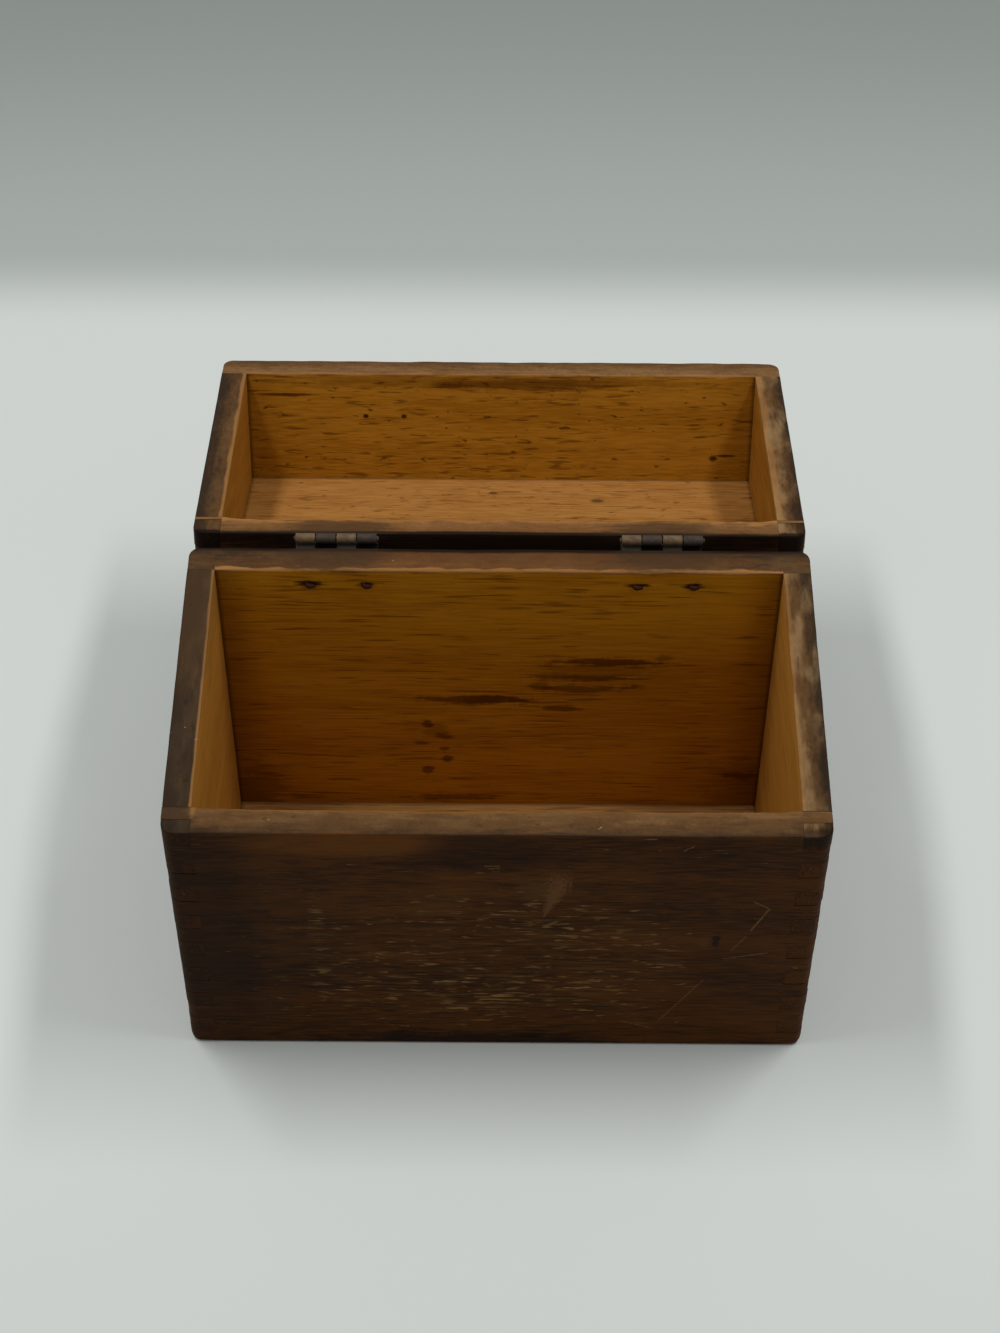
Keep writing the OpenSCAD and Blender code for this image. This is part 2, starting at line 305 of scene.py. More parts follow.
class Board:
    """One wall of the base or lid. A place on it is (along, depth, height), with the lid shut."""

    def __init__(self, node, body, side, runs_x, inner_wear, outer_wear, seed, handled=0.0):
        self.node, self.body, self.side, self.runs_x = node, body, side, runs_x
        self.inner_wear, self.outer_wear, self.seed = inner_wear, outer_wear, seed
        self.handled = handled
        self.length = BOX_W if runs_x else BOX_D
        self.is_lid = body == "lid"

    def point(self, along, depth, height):
        """The place of a point in the frame, lid shut."""
        if self.runs_x:
            return Vector((along, self.side * (BOX_D / 2 - depth), height))
        return Vector((self.side * (BOX_W / 2 - depth), along, height))

    def place(self, point):
        """(along, depth, height) of a point in the frame, lid shut."""
        if self.runs_x:
            return point.x, BOX_D / 2 - self.side * point.y, point.z
        return point.y, BOX_W / 2 - self.side * point.x, point.z

    def rim(self, along, depth):
        """Height of the sawn rim, lid shut."""
        y = self.point(along, depth, 0).y
        return FRONT_H + (y + BOX_D / 2) * RIM_RISE + (RIM_GAP if self.is_lid else 0)

    def stations(self):
        """Places along the board, close together where its ends are rounded."""
        arc = BOARD_END_STEPS
        ends = [CORNER_R * (1 - math.sin(math.pi / 2 * (1 - i / arc))) for i in range(arc)]
        inside = self.length - 2 * CORNER_R
        count = round(inside / BOARD_PITCH)
        low = [d - self.length / 2 for d in ends]
        middle = [(i / count - 0.5) * inside for i in range(count + 1)]
        return low + middle + [-a for a in reversed(low)]

    def ring(self, along):
        """Cross-section at one station, with its edges worn round."""
        end = self.length / 2 - abs(along)
        face = round_over(end, CORNER_R)
        if self.is_lid:
            edge, out, sense = EDGE_R, LID_TOP - round_over(end, EDGE_R), -1
        else:
            knocked = FOOT_WEAR * math.exp(-end / FOOT_WEAR_REACH)
            edge, out, sense = FOOT_R, round_over(end, FOOT_CORNER_R) + knocked, 1
        plane_loss = sense * RIM_LOSS * ripple(self.seed + 0.3, along, RIM_SWELL)
        worn = ripple(self.seed, along, INNER_WAVE) ** 2 + 0.6 * ripple(self.seed + 5, along, NIBBLE) ** 3
        hands = self.handled * max(0.0, 1 - ((along - HANDLED_X) / HANDLED_REACH) ** 2)
        clear = min(1.0, max(0.1, (end - WALL) / JOINT_FADE))
        inner = self.inner_wear * (0.35 + 1.1 * worn) * (1 + hands) * clear
        outer = self.outer_wear * (0.4 + 1.2 * ripple(self.seed + 9, along, OUTER_WAVE) ** 2)
        bottom = edge * (0.86 + 0.14 * ripple(self.seed + 3, along, FOOT_WAVE))
        rim_in = self.rim(along, WALL) - plane_loss
        rim_out = self.rim(along, face) - plane_loss
        corners = [
            (Vector((face, out)), bottom, 7),
            (Vector((WALL, out)), HIDDEN_EASE, 1),
            (Vector((WALL, rim_in)), inner, 6),
            (Vector((face, rim_out)), outer, 5),
        ]
        return [self.point(along, *p) for p in outline(corners, BOARD_SIDES)]

    def slots(self):
        """Cutter for the slots that take the neighbours' fingers."""
        shape = bmesh.new()
        first = 1 if self.runs_x else 0
        lift = LID_DROP if self.is_lid else 0
        reach = WALL + SEAM
        for k in range(first, FINGER_COUNT + 1, 2):
            low, high = k * FINGER_H - lift - SEAM, (k + 1) * FINGER_H - lift + SEAM
            for end in (-1, 1):
                a = self.point(end * (self.length / 2 + OVERCUT), -OVERCUT, low)
                b = self.point(end * (self.length / 2 - reach), WALL + OVERCUT, high)
                block(shape, *[[f(x, y) for x, y in zip(a, b)] for f in (min, max)])
        return as_object(shape, "slots")

    def panel_seat(self):
        """Cutter for the seat of the bottom or top panel."""
        shape = bmesh.new()
        x, y = BOX_W / 2 - REBATE_LIP, BOX_D / 2 - REBATE_LIP
        low, high = (LID_TOP - TOP_T, LID_TOP + OVERCUT) if self.is_lid else (-OVERCUT, BOTTOM_T)
        block(shape, (-x, -y, low), (x, y, high))
        return as_object(shape, "seat")

    def nail_holes(self):
        """Cutter for the nails that come through a back board, and the wood torn out round them."""
        shape = bmesh.new()
        draw = random.Random(self.node)
        height = PIN_AT.z + (NAIL_DROP if self.is_lid else -NAIL_DROP)
        for x in NAILS_X:
            drill(shape, self.point(x, WALL / 2, height), 2 * WALL)
        piece = as_object(shape, "nail_holes")
        for x in NAILS_X:
            tear = bmesh.new()
            size = Vector([draw.uniform(*ends) for ends in (TEAR_LENGTH, TEAR_DEPTH, TEAR_DEPTH)]) * MM
            middle = self.point(x + NAIL_CLINCH * draw.uniform(0, TEAR_SHIFT), WALL, height)
            tilt = Matrix.Rotation(math.radians(draw.uniform(-NAIL_TILT, NAIL_TILT)), 4, "Y")
            place = Matrix.Translation(middle) @ tilt @ Matrix.Diagonal((*size, 1))
            bmesh.ops.create_icosphere(tear, subdivisions=3, radius=1, matrix=place)
            for v in tear.verts:
                v.co += noise.noise_vector(v.co / MM) * TEAR_UNEVEN * MM
            carve(piece, as_object(tear, "tear"), "UNION")
        return piece

    def settle_fingers(self, mesh):
        """Lets each finger stand a hair lower than the board that it passes through."""
        lift = LID_DROP if self.is_lid else 0
        for v in mesh.vertices:
            along, depth, height = self.place(v.co)
            past = abs(along) - (self.length / 2 - WALL)
            if past < 0:
                continue
            finger = math.floor((height + lift) / FINGER_H)
            draw = random.Random(f"{self.node} {finger} {along > 0}")
            sink, short = draw.uniform(0, FINGER_SINK) * MM, draw.uniform(0, FINGER_SHORT) * MM
            depth += sink * (1 - depth / WALL) * past / WALL
            along -= math.copysign(short * past / WALL, along)
            v.co = self.point(along, depth, height)

    def mark(self, mesh):
        """Writes what the finish needs to know: places along the grain and distances to edges."""
        draw = random.Random(self.node)
        shift = Vector([draw.uniform(0, GRAIN_SPREAD) for _ in range(3)])
        grain, reach, outside = [], [], []
        for v in mesh.vertices:
            along, depth, height = self.place(v.co)
            grain.extend(shift + Vector((along, depth, height)))
            below = abs(height - self.rim(along, depth)) * RIM_COS
            reach += [WALL - depth, below, self.length / 2 - WALL - abs(along)]
            outside += [along, depth, height]
        write_marks(mesh, grain, reach, outside)

    def build(self):
        """Makes the worn board with its joints, seat and holes cut, and seats it in the frame."""
        piece = as_object(loft([self.ring(a) for a in self.stations()]), "worn_" + self.node)
        carve(piece, self.slots())
        carve(piece, self.panel_seat())
        if "back" in self.node:
            carve(piece, self.nail_holes())
        self.settle_fingers(piece.data)
        self.mark(piece.data)
        return seat(piece, self.node, self.body)


def write_marks(mesh, grain, reach, place):
    """Stores the grain, edge and place marks on a mesh's points."""
    for name, values in (("grain", grain), ("reach", reach), ("place", place)):
        mesh.attributes.new(name, "FLOAT_VECTOR", "POINT").data.foreach_set("vector", values)


NAILS_X = [side * HINGE_X + end * NAIL_SPACING / 2 for side in (-1, 1) for end in (-1, 1)]

# The walls: node, body, side, whether it runs along x, wear of the inner and outer rim edge, and seed
BOARDS = [
    Board("base_front_board", "base", -1, True, 1.1 * MM, 0.35 * MM, 1, handled=1.1),
    Board("base_back_board", "base", 1, True, 0.8 * MM, 0.25 * MM, 2),
    Board("base_left_board", "base", -1, False, 0.3 * MM, 0.5 * MM, 3),
    Board("base_right_board", "base", 1, False, 0.4 * MM, 0.5 * MM, 4),
    Board("lid_front_board", "lid", -1, True, 0.7 * MM, 0.5 * MM, 5),
    Board("lid_back_board", "lid", 1, True, 1.5 * MM, 0.25 * MM, 6),
    Board("lid_left_board", "lid", -1, False, 0.4 * MM, 0.5 * MM, 7),
    Board("lid_right_board", "lid", 1, False, 0.4 * MM, 0.5 * MM, 8),
]
wood = {board.node: board.build() for board in BOARDS}


def panel(node, body):
    """The bottom or top panel in its seat, its edges eased."""
    half_w = BOX_W / 2 - REBATE_LIP - PANEL_PLAY
    half_d = BOX_D / 2 - REBATE_LIP - PANEL_PLAY
    low, thick = (LID_TOP - TOP_T, TOP_T) if body == "lid" else (0.0, BOTTOM_T)
    corners = [
        (Vector((y * half_d, low + z * thick)), PANEL_EASE, 2)
        for y, z in ((-1, 0), (1, 0), (1, 1), (-1, 1))
    ]
    profile = outline(corners, PANEL_SIDES)
    stations = [(i / PANEL_STEPS * 2 - 1) * half_w for i in range(PANEL_STEPS + 1)]
    rings = [[Vector((x, *p)) for p in profile] for x in stations]
    piece = as_object(loft(rings), "worn_" + node)
    shift = PANEL_GRAIN[body]
    grain, reach, place = [], [], []
    for v in piece.data.vertices:
        depth = LID_TOP - v.co.z if body == "lid" else v.co.z
        grain.extend(shift + Vector((v.co.x, depth, v.co.y)))
        corner = min(BOX_W / 2 - WALL - abs(v.co.x), BOX_D / 2 - WALL - abs(v.co.y))
        reach += [thick - depth, FAR_FROM_RIM, corner]
        place += [v.co.x, depth, v.co.y]
    write_marks(piece.data, grain, reach, place)
    return seat(piece, node, body)


for node, body in (("base_bottom_panel", "base"), ("lid_top_panel", "lid")):
    wood[node] = panel(node, body)


# Hinge leaves, drawn on a pin at the origin, with the leaf hanging below it

def strap_outline():
    """Side view, as (out, up) points, of a strap that leaves the plate and rolls round the pin."""
    mid_r, half = (KNUCKLE_R + PIN_HOLE_R) / 2, (KNUCKLE_R - PIN_HOLE_R) / 2
    foot = Vector((LEAF_T / 2 - PIN_OUT, -STRAP_FOOT))
    touch = math.atan2(foot.y, foot.x) + math.acos(mid_r / foot.length)
    lean = -touch
    bend_at = foot + Vector((STRAP_BEND_R, -STRAP_BEND_R * math.tan(lean / 2)))
    line = [(foot - Vector((0, 2 * STRAP_BEND_R)), Vector((-1, 0)))]
    for i in range(STRAP_BEND_STEPS + 1):
        bent = lean * i / STRAP_BEND_STEPS
        side = Vector((-math.cos(bent), math.sin(bent)))
        line.append((bend_at + side * STRAP_BEND_R, side))
    for i in range(ROLL_STEPS + 1):
        turn = touch + ROLL_TURN * i / ROLL_STEPS
        side = -Vector((math.cos(turn), math.sin(turn)))
        line.append((side * -mid_r, side))
    return [p + side * half for p, side in line] + [p - side * half for p, side in reversed(line)]


def strap(index):
    """One strap and its knuckle, counted from the hinge's left end."""
    pitch = HINGE_LEN / KNUCKLE_COUNT
    middle = (index + 0.5) * pitch - HINGE_LEN / 2
    reach = (pitch - KNUCKLE_GAP) / 2
    ends = (middle - reach, middle + reach)
    piece = as_object(loft([[Vector((x, *p)) for p in strap_outline()] for x in ends]), "strap")
    ease_edges(piece, STRAP_EASE)
    return piece


def leaf_holes():
    """Cutter for the nail holes of a leaf."""
    shape = bmesh.new()
    for end in (-1, 1):
        drill(shape, (end * NAIL_SPACING / 2, -PIN_OUT, -NAIL_DROP), 4 * LEAF_T)
    return as_object(shape, "leaf_holes")


def hinge_name(side, body, what):
    """Name of a node of the left or right hinge."""
    return f"{'left' if side < 0 else 'right'}_hinge_{body}_{what}"


def hang(piece, side, body):
    """Takes a piece that was drawn on a pin at the origin to its hinge, turned over for the lid."""
    if body == "lid":
        piece.data.transform(Matrix.Diagonal((1, 1, -1, 1)))
        piece.data.flip_normals()
    piece.data.transform(Matrix.Translation((side * HINGE_X, PIN_AT.y, PIN_AT.z)))


def hinge_leaf(side, body):
    """A leaf: a plate with rounded corners, two straps rolled into knuckles, and two nail holes."""
    node = hinge_name(side, body, "leaf")
    x, low, high = HINGE_LEN / 2, -LEAF_H, -LEAF_TOP
    corners = [
        (Vector((-x, low)), LEAF_CORNER, 6), (Vector((x, low)), LEAF_CORNER, 6),
        (Vector((x, high)), LEAF_TOP_CORNER, 2), (Vector((-x, high)), LEAF_TOP_CORNER, 2),
    ]
    plate = outline(corners, (1, 1, 1, 1))
    faces = (-PIN_OUT, LEAF_T - PIN_OUT)
    piece = as_object(loft([[Vector((p.x, y, p.y)) for p in plate] for y in faces]), "worn_" + node)
    ease_edges(piece, LEAF_EASE)
    for index in range(0 if body == "base" else 1, KNUCKLE_COUNT, 2):
        carve(piece, strap(index), "UNION")
    carve(piece, leaf_holes())
    hang(piece, side, body)
    return seat(piece, node, body)


# Nails, drawn on the same pin: a domed head on the leaf, a shank, and an end bent over inside

def nail_rings(tilt):
    """Rings of points from the top of a nail's head to its tip, which is bent over at a tilt."""
    inward = Vector((0, -1, 0))
    sideways = Vector((math.cos(tilt), 0, math.sin(tilt)))
    across = inward.cross(sideways)
    head_y = LEAF_T - PIN_OUT
    bend_y = NAIL_BEND_R - PIN_OUT - WALL - NAIL_HOLE_R
    line = []
    for i in range(HEAD_STEPS + 1):
        lean = math.pi / 2 * (i + 0.3) / (HEAD_STEPS + 0.3)
        dome_y = head_y + NAIL_HEAD_T * math.cos(lean)
        line.append((-inward * dome_y, inward, NAIL_HEAD_R * math.sin(lean)))
    line += [(-inward * y, inward, NAIL_R) for y in (head_y, (head_y + bend_y) / 2)]
    for i in range(NAIL_BEND_STEPS + 1):
        lean = math.pi / 2 * i / NAIL_BEND_STEPS
        turn = sideways * (1 - math.cos(lean)) + inward * math.sin(lean)
        heading = inward * math.cos(lean) + sideways * math.sin(lean)
        line.append((-inward * bend_y + turn * NAIL_BEND_R, heading, NAIL_R))
    elbow = line[-1][0]
    for share, radius in NAIL_POINT:
        line.append((elbow + sideways * (NAIL_CLINCH - NAIL_BEND_R) * share, sideways, NAIL_R * radius))
    corners = [2 * math.pi * k / NAIL_SIDES for k in range(NAIL_SIDES)]
    return [
        [p + (across * math.cos(a) + heading.cross(across) * math.sin(a)) * radius for a in corners]
        for p, heading, radius in line
    ]


def hinge_nails(side, body):
    """The two nails of a leaf, their heads a little out of true from the hammer."""
    node = hinge_name(side, body, "nails")
    draw = random.Random(node)
    shape = bmesh.new()
    for end in (-1, 1):
        middle = Vector((end * NAIL_SPACING / 2, 0, -NAIL_DROP))
        rings = nail_rings(math.radians(draw.uniform(-NAIL_TILT, NAIL_TILT)))
        loft([[middle + p for p in ring] for ring in rings], shape)
    for v in shape.verts:
        if v.co.y > LEAF_T - PIN_OUT:
            v.co += noise.noise_vector(v.co / MM + Vector((side, 0, len(body)))) * HEAD_UNEVEN * MM
    piece = as_object(shape, "worn_" + node)
    hang(piece, side, body)
    return seat(piece, node, body)


hinge_pieces = {
    (body, what): [make(side, body) for side in (-1, 1)]
    for body in ("base", "lid")
    for what, make in (("leaf", hinge_leaf), ("nails", hinge_nails))
}


# Finishes

def srgb(red, green, blue):
    """A colour as seen on a screen, 0 to 255, in the units that a shader takes."""
    parts = [c / 255 for c in (red, green, blue)]
    return (*[c / 12.92 if c < 0.04045 else ((c + 0.055) / 1.055) ** 2.4 for c in parts], 1)


STAIN_DARK = srgb(44, 24, 5)
STAIN_MID = srgb(77, 41, 5)
STAIN_WARM = srgb(112, 66, 20)
SCUFF = srgb(86, 60, 26)
# Near-black of grime, also the paint for painted shade in the hinge gap and on the chipped finger
GRIME_AND_SHADE = srgb(18, 11, 7)
FLECK = srgb(122, 90, 51)
SCRAPE = srgb(100, 66, 36)
RIM_DARK = srgb(50, 37, 25)
RIM_BROWN = srgb(90, 62, 34)
RIM_PALE = srgb(122, 89, 54)
RIM_RUSSET = srgb(122, 74, 30)
NICK = srgb(164, 134, 92)
BARE_WOOD = srgb(154, 108, 58)
# Dark of the grain's dashes, also the paint for painted shade in inner corners
DASH_AND_CORNER_SHADE = srgb(70, 32, 4)
STAIN_SPOT = srgb(42, 16, 4)
RUST = srgb(52, 22, 8)

# Deep and pale tones of the clear-finished insides
BASE_AMBER = srgb(157, 101, 12), srgb(185, 127, 25)
SIDE_GOLD = srgb(163, 112, 42), srgb(184, 130, 54)
FLOOR_TAN = srgb(142, 99, 50), srgb(174, 127, 73)
LID_AMBER = srgb(147, 92, 14), srgb(175, 118, 32)
LID_GOLD = srgb(142, 92, 24), srgb(168, 113, 40)
LID_TAN = srgb(136, 89, 39), srgb(159, 111, 56)

# Gloss of the worn wood, and how deep the relief of wood and metal is
WOOD_GLOSS = 0.06
WOOD_RELIEF = 0.12 * MM
METAL_RELIEF = 0.05 * MM


class Nodes:
    """Adds nodes to a tree. An input is either a socket or a plain value."""

    def __init__(self, tree):
        self.tree = tree

    def add(self, kind, inputs, **settings):
        """A new node of a kind, with its settings and inputs."""
        node = self.tree.nodes.new("ShaderNode" + kind)
        for key, value in settings.items():
            setattr(node, key, value)
        for key, value in inputs.items():
            self.feed(node.inputs[key], value)
        return node

    def feed(self, socket, value):
        """Links a socket to another, or sets it to a plain value."""
        if isinstance(value, bpy.types.NodeSocket):
            self.tree.links.new(value, socket)
        else:
            socket.default_value = value

    def math(self, operation, a, b=0.0):
        """One step of arithmetic."""
        return self.add("Math", {0: a, 1: b}, operation=operation).outputs[0]

    def times(self, a, b):
        """The product of two values."""
        return self.math("MULTIPLY", a, b)

    def total(self, *parts):
        """Sum of values, each with its weight."""
        result = 0.0
        for value, weight in parts:
            terms = {0: value, 1: weight, 2: result}
            result = self.add("Math", terms, operation="MULTIPLY_ADD").outputs[0]
        return result

    def vector(self, operation, a, b=(0, 0, 0)):
        """One step of arithmetic with vectors."""
        return self.add("VectorMath", {0: a, 1: b}, operation=operation).outputs[0]

    def dot(self, a, b):
        """The dot product of two vectors."""
        return self.add("VectorMath", {0: a, 1: b}, operation="DOT_PRODUCT").outputs["Value"]

    def length(self, vector):
        """How long a vector is."""
        return self.add("VectorMath", {0: vector}, operation="LENGTH").outputs["Value"]

    def scaled(self, vector, factor):
        """A vector or a colour times a number."""
        return self.add("VectorMath", {0: vector, "Scale": factor}, operation="SCALE").outputs[0]

    def parts(self, vector):
        """The x, y and z of a vector."""
        return self.add("SeparateXYZ", {0: vector}).outputs

    def band(self, value, low, high):
        """Goes smoothly from 0 at low to 1 at high; low may be the larger."""
        ends = {"Value": value, "From Min": low, "From Max": high}
        return self.add("MapRange", ends, interpolation_type="SMOOTHSTEP").outputs[0]

    def spread(self, value, low, high, to_low, to_high):
        """Carries a value from one range to another and stops at its ends."""
        ends = {"Value": value, "From Min": low, "From Max": high, "To Min": to_low, "To Max": to_high}
        return self.add("MapRange", ends).outputs[0]

    def mix(self, share, a, b):
        """A colour that goes from a to b as the share goes from 0 to 1."""
        return self.add("Mix", {0: share, 6: a, 7: b}, data_type="RGBA").outputs[2]

    def noise(self, place, scale, detail=2.0, distortion=0.0):
        """Soft noise from 0 to 1, with this many waves in a metre."""
        settings = {"Vector": place, "Scale": scale, "Detail": detail, "Distortion": distortion}
        return self.add("TexNoise", settings).outputs[0]

    def streaks(self, grain, along, across, detail=2.0, distortion=0.0):
        """Noise drawn out along the grain, with this many waves in a metre each way."""
        return self.noise(self.vector("MULTIPLY", grain, (along, across, across)), 1, detail, distortion)

    def mark(self, name):
        """A mark that the shapes carry on their points."""
        return self.add("Attribute", {}, attribute_name=name).outputs["Vector"]

    def use(self, tree, inputs):
        """Places a node group and returns its outputs by name."""
        node = self.add("Group", {}, node_tree=tree)
        for key, value in inputs.items():
            self.feed(node.inputs[key], value)
        return node.outputs


def new_group(name, inputs, outputs):
    """An empty node group, with its node maker, its inputs and its output sockets."""
    tree = bpy.data.node_groups.new(name, "ShaderNodeTree")
    for label, kind in inputs.items():
        tree.interface.new_socket(label, in_out="INPUT", socket_type="NodeSocket" + kind)
    for label, kind in outputs.items():
        tree.interface.new_socket(label, in_out="OUTPUT", socket_type="NodeSocket" + kind)
    entry = tree.nodes.new("NodeGroupInput")
    leave = tree.nodes.new("NodeGroupOutput")
    return tree, Nodes(tree), entry.outputs, leave.inputs


def new_material(name):
    """A material, with its node maker and the inputs of its shader."""
    material = bpy.data.materials.new(name)
    material.use_nodes = True
    return material, Nodes(material.node_tree), material.node_tree.nodes["Principled BSDF"].inputs


def dress(piece, material):
    """Gives a piece one finish, in place of any other."""
    piece.data.materials.clear()
    piece.data.materials.append(material)


def board_grain():
    """Growth bands, fine fibres and short dashes, all along the board."""
    inputs = {"Grain": "Vector", "Pitch": "Float"}
    outputs = {"Bands": "Float", "Fibre": "Float", "Dashes": "Float"}
    tree, n, given, out = new_group("board grain", inputs, outputs)

    def drawn_out(across, detail):
        """Noise drawn out along the grain at the group's own pitch."""
        waves = n.add("CombineXYZ", {0: given["Pitch"], 1: across, 2: across}).outputs[0]
        return n.noise(n.vector("MULTIPLY", given["Grain"], waves), 1, detail, 0.1)

    crowd = n.streaks(given["Grain"], 30, 70)
    n.feed(out["Bands"], n.streaks(given["Grain"], 7, 150, 3, 0.4))
    n.feed(out["Fibre"], drawn_out(1900.0, 3))
    n.feed(out["Dashes"], n.band(n.total((drawn_out(1150.0, 1), 1), (crowd, 0.2)), 0.68, 0.84))
    return tree


def board_edges():
    """Where a board's surface is inside, sawn rim, worn edge, end grain or seam, and a wide band in its
    inner corners for painted shade.
    """
    inputs = {"Reach": "Vector", "Grain": "Vector", "Inner width": "Float", "Fray": "Float"}
    outputs = ("Inside", "Rim", "Inner edge", "Outer edge", "End grain", "Seam", "Corner shade")
    tree, n, given, out = new_group("board edges", inputs, dict.fromkeys(outputs, "Float"))
    inner, below, corner = n.parts(given["Reach"])
    span = n.band(corner, -0.05 * MM, 0.1 * MM)
    ragged = n.total((n.streaks(given["Grain"], 160, 420, 4), 1), (1.0, -0.5))
    ragged = n.times(ragged, given["Fray"])
    frayed = n.total((ragged, 0.9 * MM), (below, 1))
    n.feed(out["Rim"], n.band(frayed, 0.75 * MM, 0.3 * MM))
    under = n.band(frayed, 0.2 * MM, 0.7 * MM)
    face = n.times(n.band(inner, 0.9 * MM, 0.5 * MM), under)
    n.feed(out["Inside"], n.times(face, span))

    def near(distance, width):
        """Where the rim's edge is nearer than a width, with a ragged limit."""
        apart = n.add("CombineXYZ", {0: distance, 1: below, 2: 0.0}).outputs[0]
        share = n.math("DIVIDE", n.length(apart), width)
        return n.band(n.total((ragged, 2.6), (share, 1)), 1.0, 0.45)

    n.feed(out["Inner edge"], n.times(near(inner, given["Inner width"]), span))
    n.feed(out["Outer edge"], near(n.total((inner, -1), (1.0, WALL)), 0.7 * MM))
    n.feed(out["End grain"], n.band(corner, 0.7 * MM - WALL, 0.3 * MM - WALL))
    n.feed(out["Seam"], n.band(n.math("ABSOLUTE", corner), 1.2 * MM, 0.1 * MM))
    n.feed(out["Corner shade"], n.band(corner, 11 * MM, 0.0))
    return tree


def knocked_flecks():
    """Short dashes along the grain where the stain has been knocked off."""
    inputs = {"Grain": "Vector", "Amount": "Float"}
    tree, n, given, out = new_group("knocked flecks", inputs, {"Flecks": "Float"})
    small = n.streaks(given["Grain"], 260, 1500, 1, 0.4)
    large = n.streaks(given["Grain"], 110, 800, 2, 0.4)
    limit = n.spread(given["Amount"], 0, 1, 0.66, 0.49)
    over = n.total((small, 0.6), (large, 0.4), (limit, -1))
    faint = n.spread(n.streaks(given["Grain"], 90, 360, 1), 0.35, 0.65, 0.2, 1)
    n.feed(out["Flecks"], n.times(n.band(over, 0.0, 0.09), faint))
    return tree


def stained_face():
    """Old dark stain: soft clouds, streaks along the grain, and wood showing where it was knocked."""
    inputs = {"Grain": "Vector", "Rubbed": "Float", "Flecks": "Float"}
    tree, n, given, out = new_group("stained face", inputs, {"Color": "Color", "Height": "Float"})
    grain = n.use(GRAIN, {"Grain": given["Grain"], "Pitch": 150.0})
    flecks = n.use(FLECKS, {"Grain": given["Grain"], "Amount": given["Flecks"]})["Flecks"]
    cloud = n.streaks(given["Grain"], 22, 48, 4)
    tone = n.total((cloud, 0.5), (grain["Bands"], 0.3), (grain["Fibre"], 1.6))
    colour = n.mix(n.band(tone, 0.85, 1.55), STAIN_DARK, STAIN_MID)
    warm = n.band(n.total((grain["Bands"], 0.6), (cloud, 0.4)), 0.4, 0.7)
    colour = n.mix(n.times(warm, given["Rubbed"]), colour, STAIN_WARM)
    scuffed = n.band(n.streaks(given["Grain"], 80, 900, 3, 0.3), 0.5, 0.68)
    scuffed = n.times(scuffed, n.spread(given["Flecks"], 0.15, 0.8, 0, 0.75))
    colour = n.mix(scuffed, colour, SCUFF)
    colour = n.mix(n.times(grain["Dashes"], 0.4), colour, GRIME_AND_SHADE)
    n.feed(out["Color"], n.mix(flecks, colour, FLECK))
    n.feed(out["Height"], n.total((grain["Fibre"], 0.5), (grain["Dashes"], -0.4), (flecks, -0.9)))
    return tree


def sawn_rim():
    """The sawn and handled rim: brown smudges and streaks, darker toward the outside."""
    inputs = {"Grain": "Vector", "Reach": "Vector", "Paler": "Float", "Fade": "Float", "Rough": "Float"}
    tree, n, given, out = new_group("sawn rim", inputs, {"Color": "Color", "Height": "Float"})
    streaks = n.streaks(given["Grain"], 100, 1000, 4, 0.5)
    mottle = n.streaks(given["Grain"], 420, 900, 3)
    smudge = n.streaks(given["Grain"], 90, 200, 4)
    outer = n.band(n.parts(given["Reach"])[0], 0.25 * WALL, WALL)
    speckle = n.noise(given["Grain"], 1600, 2)
    dim = n.times(outer, given["Fade"])
    tone = n.total((streaks, 0.35), (mottle, 0.3), (smudge, 0.3), (speckle, 0.2), (dim, -1),
                   (given["Paler"], 1))
    colour = n.mix(n.band(tone, 0.245, 0.665), RIM_DARK, RIM_BROWN)
    colour = n.mix(n.band(tone, 0.585, 0.945), colour, RIM_PALE)
    torn = n.total((n.streaks(given["Grain"], 90, 230, 6, 0.15), 1), (outer, -0.1))
    colour = n.mix(n.times(n.band(torn, 0.4, 0.64), given["Rough"]), colour, NICK)
    cracks = n.band(n.streaks(given["Grain"], 80, 800, 4, 0.2), 0.37, 0.29)
    gouged = n.times(n.math("MAXIMUM", n.band(torn, 0.38, 0.26), cracks), given["Rough"])
    pits = n.band(n.streaks(given["Grain"], 500, 900, 2), 0.64, 0.74)
    pits = n.math("MAXIMUM", n.times(pits, 0.3), gouged)
    colour = n.mix(pits, colour, GRIME_AND_SHADE)
    nicks = n.band(n.noise(n.vector("ADD", given["Grain"], (3, 1, 2)), 760, 1), 0.79, 0.83)
    n.feed(out["Color"], n.mix(n.times(nicks, 0.6), colour, NICK))
    n.feed(out["Height"], n.total((streaks, 0.8), (pits, -2), (nicks, -0.6)))
    return tree


def clear_inside():
    """The clear-finished inside, gone amber, with fine dark dashes along the grain."""
    inputs = {"Grain": "Vector", "Deep": "Color", "Pale": "Color", "Pitch": "Float",
              "Dashes": "Float", "Specks": "Float"}
    tree, n, given, out = new_group("clear inside", inputs, {"Color": "Color", "Height": "Float"})
    grain = n.use(GRAIN, {"Grain": given["Grain"], "Pitch": given["Pitch"]})
    cloud = n.streaks(given["Grain"], 16, 40, 3)
    tone = n.total((grain["Bands"], 0.5), (cloud, 0.5), (grain["Fibre"], 0.8))
    colour = n.mix(n.band(tone, 0.65, 1.15), given["Deep"], given["Pale"])
    colour = n.mix(n.times(grain["Dashes"], given["Dashes"]), colour, DASH_AND_CORNER_SHADE)
    specks = n.band(n.streaks(given["Grain"], 300, 560, 3), 0.63, 0.71)
    specks = n.times(specks, given["Specks"])
    n.feed(out["Color"], n.mix(specks, colour, STAIN_SPOT))
    n.feed(out["Height"], n.total((grain["Fibre"], 0.4), (grain["Dashes"], -0.5), (specks, -0.8)))
    return tree


